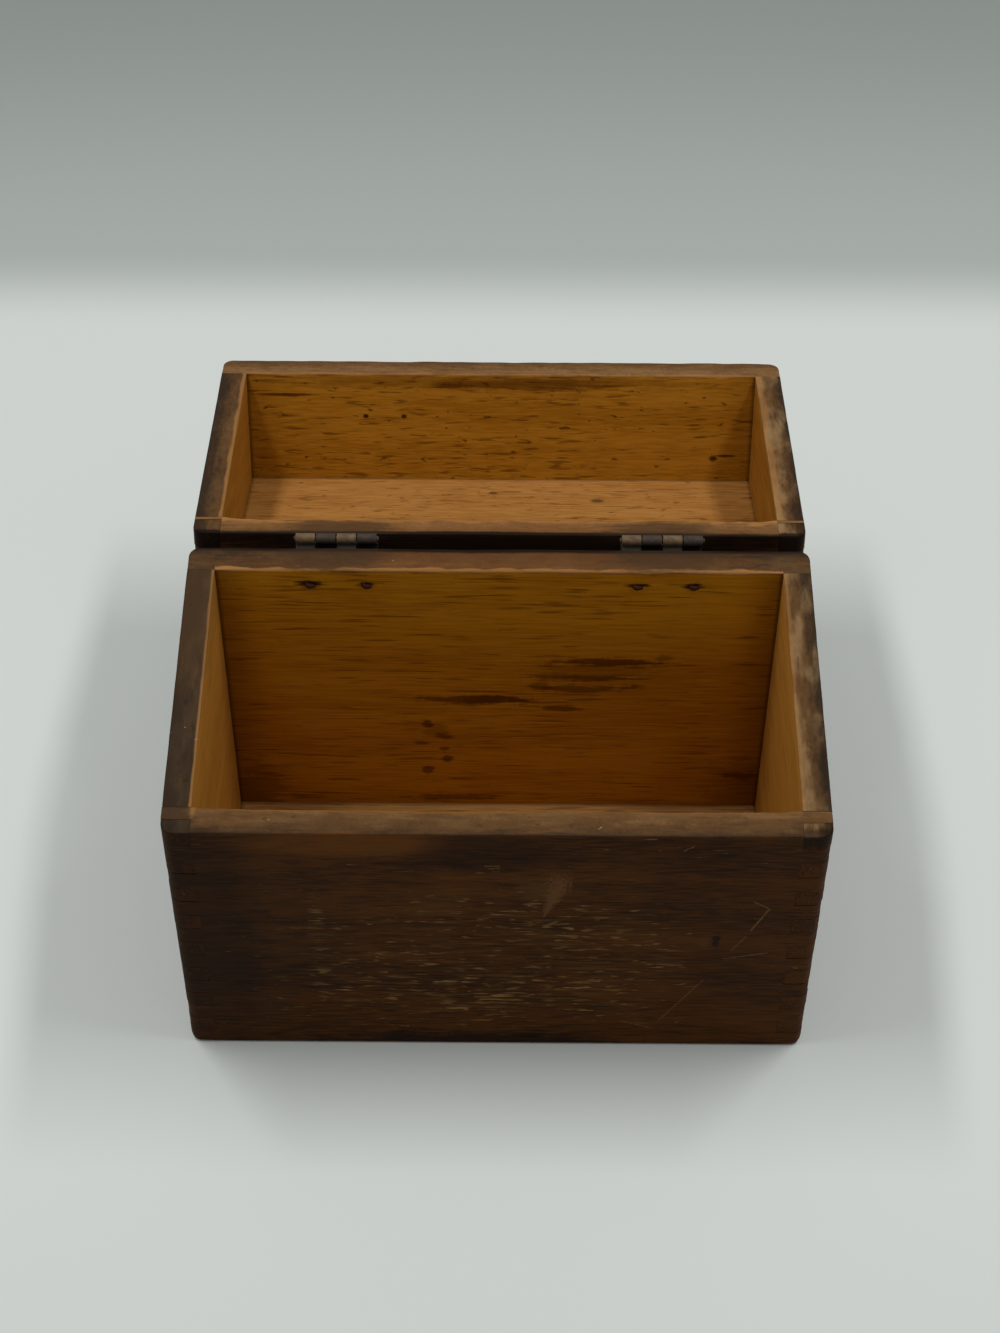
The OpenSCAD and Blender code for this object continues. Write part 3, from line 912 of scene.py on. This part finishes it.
def scratch_mark():
    """A scratch between two places on a board, which may taper to a point."""
    inputs = {"Place": "Vector", "From": "Vector", "To": "Vector", "Width": "Float", "Taper": "Float"}
    tree, n, given, out = new_group("scratch", inputs, {"Mask": "Float"})
    line = n.vector("SUBTRACT", given["To"], given["From"])
    off = n.vector("SUBTRACT", given["Place"], given["From"])
    share = n.math("DIVIDE", n.dot(off, line), n.dot(line, line))
    share = n.add("Clamp", {"Value": share}).outputs[0]
    apart = n.length(n.vector("SUBTRACT", off, n.scaled(line, share)))
    left = n.total((n.times(share, given["Taper"]), -1), (1.0, 1))
    width = n.times(given["Width"], left)
    broken = n.total((n.noise(given["Place"], 1400, 2), 1), (n.math("DIVIDE", apart, width), 1))
    n.feed(out["Mask"], n.band(broken, 1.0, 0.5))
    return tree


def stain_spot():
    """A soft ragged spot of a given size."""
    inputs = {"Place": "Vector", "Middle": "Vector", "Size": "Vector", "Ragged": "Float"}
    tree, n, given, out = new_group("spot", inputs, {"Mask": "Float"})
    off = n.vector("DIVIDE", n.vector("SUBTRACT", given["Place"], given["Middle"]), given["Size"])
    drawn, fine = n.streaks(given["Place"], 110, 1300, 3), n.noise(given["Place"], 700, 2)
    ragged = n.times(n.total((drawn, 1.2), (fine, 0.4), (1.0, -0.8)), given["Ragged"])
    n.feed(out["Mask"], n.band(n.math("ADD", n.length(off), ragged), 1.1, 0.5))
    return tree


GRAIN = board_grain()
FLECKS = knocked_flecks()
EDGES = board_edges()
STAINED = stained_face()
RIM = sawn_rim()
INSIDE = clear_inside()
SCRATCH = scratch_mark()
SPOT = stain_spot()


def wood_finish(name, inside, rubbed=0.25, flecks=0.08, knocks=(), pitch=85.0, dashes=0.5, specks=0.1,
                painted_corner_shade=0.0, paler=0.0, fade=0.16, rough=0.06, inner_width=1.0, bare=0.7, fray=1.0,
                marks=()):
    """Finish of a board or panel. Knocks are places with more flecks, marks are painted on top."""
    material, n, shader = new_material(name)
    grain, reach, place = n.mark("grain"), n.mark("reach"), n.mark("place")
    edges = n.use(EDGES, {"Reach": reach, "Grain": grain, "Inner width": inner_width * MM,
                          "Fray": fray})
    for middle, size, more in knocks:
        values = {"Place": place, "Middle": middle, "Size": [x * MM for x in size], "Ragged": 1.0}
        flecks = n.total((n.use(SPOT, values)["Mask"], more), (flecks, 1))
    outside = n.use(STAINED, {"Grain": grain, "Rubbed": rubbed, "Flecks": flecks})
    rim = n.use(RIM, {"Grain": grain, "Reach": reach, "Paler": paler, "Fade": fade,
                      "Rough": rough})
    deep, pale = inside
    amber = n.use(INSIDE, {"Grain": grain, "Deep": deep, "Pale": pale, "Pitch": pitch,
                           "Dashes": dashes, "Specks": specks})
    colour = n.mix(n.times(edges["End grain"], 0.1), outside["Color"], GRIME_AND_SHADE)
    colour = n.mix(edges["Rim"], colour, rim["Color"])
    colour = n.mix(n.times(edges["Outer edge"], 0.4), colour, RIM_DARK)
    colour = n.mix(edges["Inside"], colour, amber["Color"])
    colour = n.mix(n.times(edges["Inner edge"], bare), colour, BARE_WOOD)
    # Painted shade: a wide dark band darkens the inner faces toward their inner corners
    dim = n.times(edges["Corner shade"], edges["Inside"])
    colour = n.mix(n.times(dim, painted_corner_shade), colour, DASH_AND_CORNER_SHADE)
    seam = n.times(edges["Seam"], edges["Inside"])
    colour = n.mix(n.times(seam, 0.5), colour, STAIN_SPOT)
    for mark, values, paint, strength in marks:
        mask = n.use(mark, {"Place": place, **values})["Mask"]
        colour = n.mix(n.times(mask, strength), colour, paint)
    stained = n.total((edges["Inside"], -1), (1.0, 1))
    height = n.total((n.times(outside["Height"], stained), 1),
                     (n.times(amber["Height"], edges["Inside"]), 1),
                     (n.times(rim["Height"], edges["Rim"]), 1))
    bump = n.add("Bump", {"Strength": 0.5, "Distance": WOOD_RELIEF, "Height": height})
    n.feed(shader["Base Color"], colour)
    n.feed(shader["Roughness"], n.total((edges["Inside"], -0.1), (edges["Rim"], 0.1), (1.0, 0.6)))
    n.feed(shader["Normal"], bump.outputs[0])
    n.feed(shader["Specular IOR Level"], WOOD_GLOSS)
    return material


def on_face(along, height):
    """A place on a board's outer face, in millimetres."""
    return (along * MM, 0, height * MM)


def on_inside(along, height):
    """A place on a board's inner face, in millimetres."""
    return (along * MM, WALL, height * MM)


def scratch(start, end, width, paint, strength, taper=0.0):
    """A scratch between two places, with its width in millimetres."""
    return SCRATCH, {"From": start, "To": end, "Width": width * MM, "Taper": taper}, paint, strength


def spot(middle, size, paint, strength, ragged=1.2):
    """A spot round a place, with its half sizes in millimetres along, into and up the board."""
    return SPOT, {"Middle": middle, "Size": [x * MM for x in size], "Ragged": ragged}, paint, strength


# Knocks and marks of the front board: more flecks, spots, the tapered scrape and fine scratches
FRONT_KNOCKS = [
    (on_face(-4, 31), (52, 4, 34), 0.36),
    (on_face(-22, 20), (24, 4, 13), 0.2),
    (on_face(9, 22), (22, 4, 12), 0.2),
    (on_face(16, 45), (22, 4, 9), 0.2),
    (on_face(-40, 42), (2.5, 4, 24), 0.4),
    (on_face(-49.7, 14.6), (5, 4, 3), 0.5),
    (on_face(34, 33), (12, 4, 16), 0.25),
    (on_face(-52, 45), (16, 4, 20), 0.15),
]
FRONT_SPOTS = [
    spot(on_face(-33, 72), (26, 1.2, 5), STAIN_WARM, 0.5, 0.7),
    spot(on_face(-2, 69), (18, 1.2, 8), GRIME_AND_SHADE, 0.5, 0.7),
    spot(on_face(-66, 38), (17, 3, 48), GRIME_AND_SHADE, 0.42, 0.7),
    spot(on_face(-62, 40), (36, 3, 44), GRIME_AND_SHADE, 0.34, 0.9),
    spot(on_face(62, 38), (36, 3, 44), GRIME_AND_SHADE, 0.14, 0.9),
    spot(on_face(-4, 1), (36, 2, 4), GRIME_AND_SHADE, 0.75, 1.5),
    spot(on_face(48.8, 39.7), (1.1, 1.2, 2.6), GRIME_AND_SHADE, 0.8, 1.8),
    spot(on_face(46, 39.2), (1.6, 1.2, 1.6), SCUFF, 0.35, 1.8),
    spot(on_face(9, 57), (5, 1.2, 4), SCUFF, 0.45, 1.6),
    spot((-70 * MM, WALL / 2, FRONT_H), (6.5, 12, 6), RIM_DARK, 0.75, 0.6),
    spot((-64.8 * MM, 0.9 * WALL, FRONT_H), (0.9, 2.2, 3), BARE_WOOD, 0.4, 1.2),
]
FRONT_SCRAPES = [
    scratch(on_face(13.6, 59.5), on_face(10.4, 48), 8.6, SCRAPE, 0.75, 0.92),
    scratch(on_face(14, 59), on_face(11, 49.5), 6, SCRAPE, 0.6, 0.85),
]
FRONT_SCRATCHES = [
    scratch(on_face(*start), on_face(*end), width, FLECK, strength)
    for start, end, width, strength in (
        ((10.6, 44.6), (13.4, 46.2), 0.9, 0.7), ((-2.4, 65.3), (0.5, 65.3), 0.6, 0.6),
        ((-1.7, 64.4), (0.5, 64.5), 0.6, 0.45), ((-1, 63.4), (0.4, 63.4), 0.6, 0.35),
        ((56.2, 53.6), (59.8, 51.2), 0.5, 0.6), ((59.8, 51.2), (56.2, 43.5), 0.7, 0.6),
        ((55.4, 41.5), (52.6, 36.5), 0.6, 0.35), ((37.7, 9.8), (46.9, 25.3), 0.5, 0.4),
        ((51, 33.2), (60.7, 35.5), 0.5, 0.55), ((28.9, 9.3), (36, 6.6), 0.4, 0.6),
        ((39.9, 70.8), (41.9, 72.2), 0.5, 0.7),
    )
]

# Warmth and grime of the rims and ends, dark grime with painted shade along the hinge gap, and painted
# shade on the chipped finger
BACK_RIM_WARMTH = spot((0, 0.6 * WALL, back_high.z), (75, 6, 2), RIM_RUSSET, 0.35, 0.7)
# Dark grime on the back faces along the hinge seam, with painted shade of the narrow gap between lid and
# base
HINGE_GAP_GRIME_AND_SHADE = spot(on_face(0, back_high.z / MM), (110, 1.3, 9), GRIME_AND_SHADE, 0.92, 0.5)
# The back ends of the side boards at the rim: dark grime with painted shade of the hinge gap
END_GRIME_AND_GAP_SHADE = spot((BOX_D / 2, WALL / 2, back_high.z), (1.6, 14, 9), GRIME_AND_SHADE, 0.92, 0.5)
LEFT_END_GRIME = spot((-BOX_D / 2, WALL / 2, FRONT_H / 2), (4, 20, 60), GRIME_AND_SHADE, 0.45, 0.5)
LEFT_RIM_WARMTH = spot((26 * MM, WALL / 2, 86 * MM), (34, 9, 14), RIM_BROWN, 0.25, 0.7)
HINGE_SMUDGES = [
    spot((side * HINGE_X, 0.3 * WALL, back_high.z), (15, 6, 4), RIM_DARK, 0.6, 0.7) for side in (-1, 1)
]
# Painted shade where the right board's front finger is chipped below the rim; the chip itself is not
# modelled
CHIPPED_FINGER_SHADE = spot((-BOX_D / 2, WALL / 2, FRONT_H), (2.6, 9, 5), GRIME_AND_SHADE, 0.7, 0.7)

# Marks inside the back boards and the lid: dark streaks, smudges, nail stains, splinters and specks, with
# painted shade in the lower corners of the base's back wall
BACK_STREAKS_AND_CORNER_SHADE = [
    spot(on_inside(along, height), (half_length, 2, 1.6 * half_width), DASH_AND_CORNER_SHADE, strength, 1.6)
    for along, height, half_length, half_width, strength in (
        (26, 56.4, 15, 1.2, 0.75), (39.5, 57.8, 3.4, 1.0, 0.5), (24, 53.6, 15, 3.2, 0.3),
        (21, 51.2, 15, 0.8, 0.6), (10, 48.2, 3, 1.2, 0.5), (21, 47.2, 13, 1.0, 0.65),
        (-6, 43.3, 17, 1.1, 0.7), (0, 43.3, 9, 1.0, 0.5), (15.3, 40.4, 5.5, 0.8, 0.65),
        # The two wide spots at 60 and -60 mm, low on the wall, are painted shade in its lower corners
        (-11, 7.5, 13, 0.9, 0.6), (60, 12, 10, 8, 0.3), (61, 16.4, 6, 1.2, 0.6), (-60, 10, 9, 7, 0.4),
    )
]
BACK_SMUDGES = [
    spot(on_inside(along, height), (1.4 * half_length, 2, half_width), DASH_AND_CORNER_SHADE, strength, 1.7)
    for along, height, half_length, half_width, strength in (
        (-17.4, 34.9, 1.1, 1.7, 0.7), (-13.1, 29.9, 2, 1.3, 0.7), (-18.8, 27.7, 1.8, 0.9, 0.6),
        (-13.2, 25.5, 0.9, 1.4, 0.6), (-12.7, 21.8, 1.2, 1.8, 0.7), (-17.5, 18, 1.2, 2.2, 0.7),
        (-15.2, 32.5, 2.4, 3.2, 0.3),
    )
]
NAIL_STAINS = [
    spot(on_inside(x / MM + 0.7, (PIN_AT.z - NAIL_DROP) / MM), (length, 2, height), STAIN_SPOT, 0.9, 1.3)
    for x, (length, height) in zip(NAILS_X, ((3.8, 1.3), (2.2, 0.8), (3.4, 0.7), (2.6, 1.4)))
]
SPLINTERS = [
    scratch(on_inside(x / MM + 0.8, (PIN_AT.z - NAIL_DROP) / MM - 0.9),
            on_inside(x / MM + 4.4, (PIN_AT.z - NAIL_DROP) / MM - 0.3), 0.9, BARE_WOOD, 0.5, 0.6)
    for x in NAILS_X[::2]
]
LID_FRONT_MARKS = [
    spot(on_inside(-34.8, 88.9), (0.8, 2, 0.7), STAIN_SPOT, 0.95, 0.6),
    spot(on_inside(-25, 89), (0.9, 2, 0.7), STAIN_SPOT, 0.9, 0.8),
    spot(on_inside(55.5, 100.4), (1.6, 2, 1.0), STAIN_SPOT, 0.9, 1.2),
    spot(on_inside(58.5, 99.6), (3, 2, 0.5), STAIN_SPOT, 0.8, 0.9),
    spot(on_inside(-6, 79), (70, 2, 2.4), DASH_AND_CORNER_SHADE, 0.35, 1.2),
    spot(on_inside(8, 79.9), (28, 2, 2.2), DASH_AND_CORNER_SHADE, 0.5, 1.2),
    spot(on_inside(-55.5, 83), (9.5, 2, 0.5), DASH_AND_CORNER_SHADE, 0.85, 0.8),
    spot(on_inside(-12, 80.4), (6, 2, 0.8), DASH_AND_CORNER_SHADE, 0.6, 1.2),
]
LID_TOP_MARKS = [
    spot((25 * MM, TOP_T, -19.1 * MM), (2.4, 1, 1.3), RIM_DARK, 0.75, 0.7),
    spot((-1.9 * MM, TOP_T, -23.4 * MM), (1.5, 1, 1), STAIN_SPOT, 0.7, 1),
]

FINISHES = {
    "base_front_board": dict(inside=BASE_AMBER, rubbed=0.3, flecks=0.15, knocks=FRONT_KNOCKS,
                             paler=0.06, inner_width=2.0, bare=0.12,
                             marks=[*FRONT_SPOTS, *FRONT_SCRAPES, *FRONT_SCRATCHES]),
    "base_back_board": dict(inside=BASE_AMBER, painted_corner_shade=0.4, inner_width=1.0, bare=0.85, paler=-0.15,
                            marks=[BACK_RIM_WARMTH, HINGE_GAP_GRIME_AND_SHADE, *HINGE_SMUDGES, *BACK_STREAKS_AND_CORNER_SHADE,
                                   *BACK_SMUDGES, *NAIL_STAINS, *SPLINTERS]),
    "base_left_board": dict(inside=SIDE_GOLD, paler=-0.32, inner_width=0.8, bare=0.6, fray=0.3,
                            dashes=0.25, marks=[LEFT_RIM_WARMTH, LEFT_END_GRIME, END_GRIME_AND_GAP_SHADE]),
    "base_right_board": dict(inside=SIDE_GOLD, paler=0.02, fade=0.3, rough=0.4, inner_width=1.2, bare=0.35,
                             fray=0.4, dashes=0.25, marks=[CHIPPED_FINGER_SHADE, END_GRIME_AND_GAP_SHADE]),
    "lid_front_board": dict(inside=LID_AMBER, pitch=170.0, dashes=0.55, specks=0.65, painted_corner_shade=0.2,
                            paler=0.2, inner_width=0.8, bare=0.5, marks=LID_FRONT_MARKS),
    "lid_back_board": dict(inside=LID_AMBER, paler=0.22, inner_width=2.2, bare=0.8,
                           marks=[BACK_RIM_WARMTH, HINGE_GAP_GRIME_AND_SHADE, *HINGE_SMUDGES]),
    "lid_left_board": dict(inside=LID_GOLD, paler=-0.06, fade=0.28, inner_width=1.2, bare=0.6, fray=0.5,
                           dashes=0.3, marks=[END_GRIME_AND_GAP_SHADE]),
    "lid_right_board": dict(inside=LID_GOLD, paler=0.05, fade=0.3, rough=0.4, inner_width=2.0, bare=0.4,
                            fray=0.7, dashes=0.3, marks=[END_GRIME_AND_GAP_SHADE]),
    "base_bottom_panel": dict(inside=FLOOR_TAN),
    "lid_top_panel": dict(inside=LID_TAN, pitch=170.0, dashes=0.45, specks=0.4, marks=LID_TOP_MARKS),
}
for node, values in FINISHES.items():
    dress(wood[node], wood_finish(node + "_finish", **values))


def tarnish():
    """Dull patches, fine grit and rubbed spots of old metal."""
    outputs = {"Dull": "Float", "Rough": "Float", "Height": "Float"}
    tree, n, given, out = new_group("tarnish", {"Place": "Vector"}, outputs)
    patches = n.noise(given["Place"], 900, 4)
    grit = n.noise(given["Place"], 4200, 2)
    n.feed(out["Dull"], n.band(n.total((patches, 1), (grit, 0.3)), 0.5, 0.8))
    n.feed(out["Rough"], n.spread(patches, 0, 1, 0.6, 0.95))
    n.feed(out["Height"], grit)
    return tree


TARNISH = tarnish()


def metal_finish(name, bright, dull, grimy=None, shine=0.75, gloss=0.5, grime=GRIME_AND_SHADE):
    """Old metal: its own colour where rubbed, a dull skin elsewhere, and grime at some distance
    from the pin, given as where it starts, is full, lets off and ends."""
    material, n, shader = new_material(name)
    place = n.add("TexCoord", {}).outputs["Object"]
    old = n.use(TARNISH, {"Place": place})
    colour = n.mix(old["Dull"], bright, dull)
    if grimy:
        starts, full, lets_off, ends = grimy
        off = n.vector("MULTIPLY", n.vector("SUBTRACT", place, PIN_AT), (0, 1, 1))
        from_pin = n.length(off)
        dirty = n.times(n.band(from_pin, starts, full), n.band(from_pin, ends, lets_off))
        colour = n.mix(n.times(dirty, 0.85), colour, grime)
    n.feed(shader["Base Color"], colour)
    n.feed(shader["Roughness"], old["Rough"])
    n.feed(shader["Metallic"], n.total((old["Dull"], -0.8 * shine), (1.0, shine)))
    bump = n.add("Bump", {"Strength": 0.4, "Distance": METAL_RELIEF, "Height": old["Height"]})
    n.feed(shader["Normal"], bump.outputs[0])
    n.feed(shader["Specular IOR Level"], gloss)
    return material


# Where grime lies on the metal, as distances from the pin
BEHIND_KNUCKLES = KNUCKLE_R, 1.25 * KNUCKLE_R, LEAF_TOP + 0.8 * MM, LEAF_TOP + 2.5 * MM
INSIDE_WALL = 7.6 * MM, 8.6 * MM, 30 * MM, 40 * MM
nail_steel = metal_finish("nail_steel", srgb(46, 36, 27), srgb(28, 20, 13), INSIDE_WALL, 0.3, 0.15, RUST)
hinge_metals = {
    ("base", "leaf"): metal_finish("dull_brass", srgb(108, 86, 58), srgb(78, 60, 41), BEHIND_KNUCKLES, 0.4),
    # The lid's leaf takes a darker copy of the same brass: painted shade on its knuckles, which sit low in
    # the gap's shadow
    ("lid", "leaf"): metal_finish("brass_painted_shade", srgb(64, 50, 37), srgb(44, 33, 24), BEHIND_KNUCKLES, 0.4),
    ("base", "nails"): nail_steel,
    ("lid", "nails"): nail_steel,
}
for kind, pieces in hinge_pieces.items():
    for piece in pieces:
        dress(piece, hinge_metals[kind])
pin_steel = metal_finish("hinge_pin_steel", srgb(92, 78, 60), srgb(56, 44, 33), shine=0.5)
for node in ("left_hinge_pin", "right_hinge_pin"):
    dress(frame["nodes"][node], pin_steel)


# Stage: pale paper, with painted shade that greys it away from the box, each tone from where it starts to
# where it is full
FLOOR_REACH = 4
PALE_HALF_LENGTH = 0.1
PAPER_ROUGHNESS = 0.7
PAPER_GLOSS = 0.2
PAPER_NEAR = srgb(206, 211, 207)
PAPER_SHADE_FADES = [
    (0.05, 0.15, srgb(202, 207, 203)),
    (0.232, 0.274, srgb(164, 170, 165)),
    (0.24, 0.45, srgb(138, 144, 139)),
]


def paper_floor():
    """Pale paper with painted shade that greys it away from the box, in rounded oblongs."""
    material, n, shader = new_material("paper_floor")
    away = n.vector("ABSOLUTE", n.add("TexCoord", {}).outputs["Object"])
    away = n.vector("MAXIMUM", n.vector("SUBTRACT", away, (PALE_HALF_LENGTH, 0, 0)), (0, 0, 0))
    far = n.math("SQRT", n.length(n.vector("MULTIPLY", away, away)))
    colour = PAPER_NEAR
    for starts, full, tone in PAPER_SHADE_FADES:
        colour = n.mix(n.band(far, starts, full), colour, tone)
    n.feed(shader["Base Color"], colour)
    n.feed(shader["Roughness"], PAPER_ROUGHNESS)
    n.feed(shader["Specular IOR Level"], PAPER_GLOSS)
    return material


floor_shape = bmesh.new()
bmesh.ops.create_grid(floor_shape, x_segments=1, y_segments=1, size=FLOOR_REACH)
floor = as_object(floor_shape, "floor")
dress(floor, paper_floor())

# Light: a pale room, and a long strip overhead on each side
ROOM_LEVEL = 0.34
STRIP_WATTS = 4.8
STRIP_WIDTH = 0.11
STRIP_LENGTH = 0.55
STRIP_BACK = 0.125
STRIP_UP = 1.0
STRIP_SIDES = {"left_strip": -0.35, "right_strip": 0.41}

world = bpy.data.worlds.new("studio")
bpy.context.scene.world = world
world.use_nodes = True
world.node_tree.nodes["Background"].inputs["Color"].default_value = (1, 1, 1, 1)
world.node_tree.nodes["Background"].inputs["Strength"].default_value = ROOM_LEVEL
for name, x in STRIP_SIDES.items():
    lamp = bpy.data.lights.new(name, "AREA")
    lamp.shape, lamp.size, lamp.size_y = "RECTANGLE", STRIP_WIDTH, STRIP_LENGTH
    lamp.energy = STRIP_WATTS
    strip = bpy.data.objects.new(name, lamp)
    strip.location = (x, STRIP_BACK, STRIP_UP)
    bpy.context.scene.collection.objects.link(strip)

# Camera, at the photograph's angle
CAMERA_AT = Vector((1.3, -360.43, 458.61)) * MM
CAMERA_TILT = math.radians(45.83)
CAMERA_TURN = math.radians(-0.14)
CAMERA_ROLL = math.radians(-0.28)
CAMERA_LENS = 63.78
CAMERA_NEAR = 0.01

forward = Vector((
    math.sin(CAMERA_TURN) * math.cos(CAMERA_TILT),
    math.cos(CAMERA_TURN) * math.cos(CAMERA_TILT),
    -math.sin(CAMERA_TILT),
))
level = forward.cross(Vector((0, 0, 1))).normalized()
right = level * math.cos(CAMERA_ROLL) + forward.cross(level) * math.sin(CAMERA_ROLL)
up = right.cross(forward)
camera_data = bpy.data.cameras.new("camera")
camera_data.lens = CAMERA_LENS
camera_data.clip_start = CAMERA_NEAR
camera = bpy.data.objects.new("camera", camera_data)
camera.matrix_world = Matrix.Translation(CAMERA_AT) @ Matrix((right, up, -forward)).transposed().to_4x4()
bpy.context.scene.collection.objects.link(camera)
bpy.context.scene.camera = camera
bpy.context.scene.view_settings.view_transform = "Standard"
